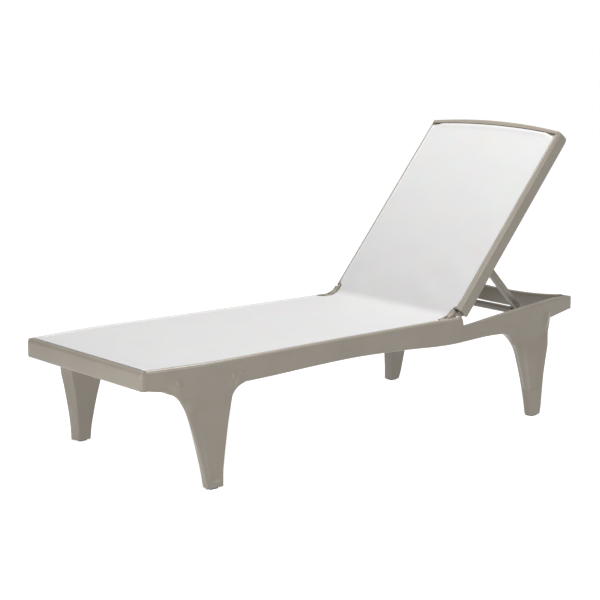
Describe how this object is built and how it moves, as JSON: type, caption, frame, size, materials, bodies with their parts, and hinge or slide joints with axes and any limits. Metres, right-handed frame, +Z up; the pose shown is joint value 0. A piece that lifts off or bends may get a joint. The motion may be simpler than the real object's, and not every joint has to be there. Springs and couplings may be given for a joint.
{
  "type": "sun lounger",
  "caption": "Reclining sun lounger with a moulded resin frame, splayed tapered legs, a one-piece stretched sling and a hinged backrest on a swinging prop that drops into notches.",
  "frame": {"origin": "on the floor, at the middle of the lounger's footprint", "axes": "+X across the lounger to its right side, +Y along it from the foot end to the head end, +Z up"},
  "size_m": [0.794, 1.95, 1.0434],
  "materials": {
    "resin_taupe": "satin moulded resin with a fine grain",
    "sling_white": "open-weave coated polyester mesh, matt",
    "rubber_black": "matt",
    "steel": "stainless, lightly brushed"
  },
  "bodies": {
    "frame": {"side_rail_left": "resin_taupe", "side_rail_right": "resin_taupe", "foot_end_bar": "resin_taupe", "head_end_bar": "resin_taupe", "mid_cross_brace": "resin_taupe", "hinge_cross_brace": "resin_taupe", "seat_sling": "sling_white", "seat_welt_left": "sling_white", "seat_welt_right": "sling_white", "seat_front_rod": "steel", "foot_pad_front_left": "rubber_black", "foot_pad_front_right": "rubber_black", "foot_pad_back_left": "rubber_black", "foot_pad_back_right": "rubber_black", "hinge_bracket_left": "resin_taupe", "hinge_bracket_right": "resin_taupe", "hinge_pin_left": "steel", "hinge_pin_right": "steel", "notch_rack_left": "resin_taupe", "notch_rack_right": "resin_taupe", "rack_screw_front_left": "steel", "rack_screw_front_right": "steel", "rack_screw_back_left": "steel", "rack_screw_back_right": "steel"},
    "backrest": {"backrest_rail_left": "resin_taupe", "backrest_rail_right": "resin_taupe", "backrest_top_bar": "resin_taupe", "backrest_lower_brace": "resin_taupe", "back_sling": "sling_white", "back_welt_left": "sling_white", "back_welt_right": "sling_white", "back_top_rod": "steel", "prop_pivot_pin_left": "steel", "prop_pivot_pin_right": "steel"},
    "prop": {"prop_arm_left": "resin_taupe", "prop_arm_right": "resin_taupe", "prop_foot_bar": "resin_taupe", "prop_foot_pin_left": "steel", "prop_foot_pin_right": "steel"}
  },
  "joints": [
    {"name": "backrest_hinge", "type": "hinge", "parent": "frame", "child": "backrest", "pos_m": [0, 0.387, 0.39], "axis": [1, 0, 0], "range_deg": [-43, 15]},
    {"name": "prop_pivot", "type": "hinge", "parent": "backrest", "child": "prop", "pos_m": [0, 0.54898, 0.58304], "axis": [1, 0, 0], "range_deg": [-28.5, 81.7]}
  ],
  "couplings": [
    {"joint": "prop_pivot", "follows": "backrest_hinge", "ratio": -1.9}
  ]
}
